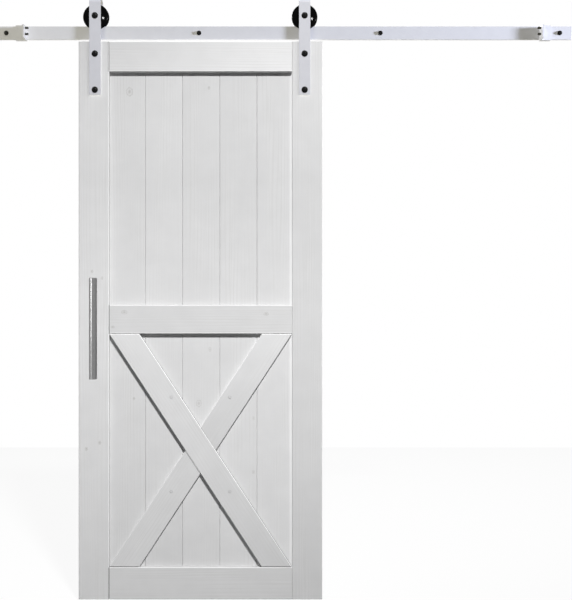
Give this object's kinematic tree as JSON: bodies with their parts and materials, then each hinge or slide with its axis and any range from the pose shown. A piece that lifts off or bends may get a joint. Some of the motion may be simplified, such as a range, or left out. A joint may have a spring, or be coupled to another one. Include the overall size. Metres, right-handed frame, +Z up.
{
  "type": "sliding barn door",
  "caption": "Ledged and braced plank door in a grooved frame, hung from a flat overhead track by bent straps and grooved wheels, with end stops and a round pull.",
  "frame": {"origin": "On the wall plane, at the height of the track's centre line, midway between the two outer lag screws.", "axes": "+X along the track to the viewer's right, +Y into the wall, +Z up. The viewer faces the door from the -Y side."},
  "size_m": [2.216, 0.1426, 2.3035],
  "materials": {
    "whitewashed_pine": "white-washed softwood, brushed, with faint grain and knots",
    "pale_steel": "pale lilac-grey powder coat, semi-matt",
    "black_steel": "black oxide, satin",
    "bright_steel": "zinc-plated steel",
    "satin_steel": "satin stainless steel",
    "black_wheel": "gloss black",
    "buffer_rubber": "dark grey rubber"
  },
  "bodies": {
    "track": {"track_bar": "pale_steel", "wall_spacers": "pale_steel", "wall_lags": "black_steel", "lag_washers": "black_steel", "left_stop": "pale_steel", "right_stop": "pale_steel", "stop_bumpers": "buffer_rubber", "stop_set_screws": "black_steel"},
    "door": {"axle_bolts": "black_steel", "axle_nuts": "black_steel", "axle_spacers": "bright_steel", "axle_washers": "black_steel", "bearing_inner_rings": "bright_steel", "bottom_rail": "whitewashed_pine", "brace_plugs": "whitewashed_pine", "brace_screws": "bright_steel", "hanger_bolts": "black_steel", "hanger_nuts": "black_steel", "hanger_washers": "black_steel", "left_hanger_strap": "pale_steel", "left_stile": "whitewashed_pine", "long_brace": "whitewashed_pine", "lower_brace": "whitewashed_pine", "middle_rail": "whitewashed_pine", "plank_1": "whitewashed_pine", "plank_2": "whitewashed_pine", "plank_3": "whitewashed_pine", "plank_4": "whitewashed_pine", "plank_5": "whitewashed_pine", "pull_bar": "satin_steel", "pull_posts": "satin_steel", "pull_screws": "bright_steel", "right_hanger_strap": "pale_steel", "right_stile": "whitewashed_pine", "top_rail": "whitewashed_pine", "upper_brace": "whitewashed_pine"},
    "left_wheel": {"left_wheel": "black_wheel", "left_bearing_outer_ring": "bright_steel"},
    "right_wheel": {"right_wheel": "black_wheel", "right_bearing_outer_ring": "bright_steel"}
  },
  "joints": [
    {"name": "door_slide", "type": "slide", "parent": "track", "child": "door", "axis": [1, 0, 0], "range_m": [-0.2321, 0.8677]},
    {"name": "left_wheel_spin", "type": "hinge", "parent": "door", "child": "left_wheel", "pos_m": [-0.7183, -0.03818, 0.061], "axis": [0, 1, 0], "continuous": true},
    {"name": "right_wheel_spin", "type": "hinge", "parent": "door", "child": "right_wheel", "pos_m": [0.0827, -0.03818, 0.061], "axis": [0, 1, 0], "continuous": true}
  ],
  "couplings": [
    {"joint": "left_wheel_spin", "follows": "door_slide", "rad_per_m": 28.329},
    {"joint": "right_wheel_spin", "follows": "door_slide", "rad_per_m": 28.329}
  ]
}
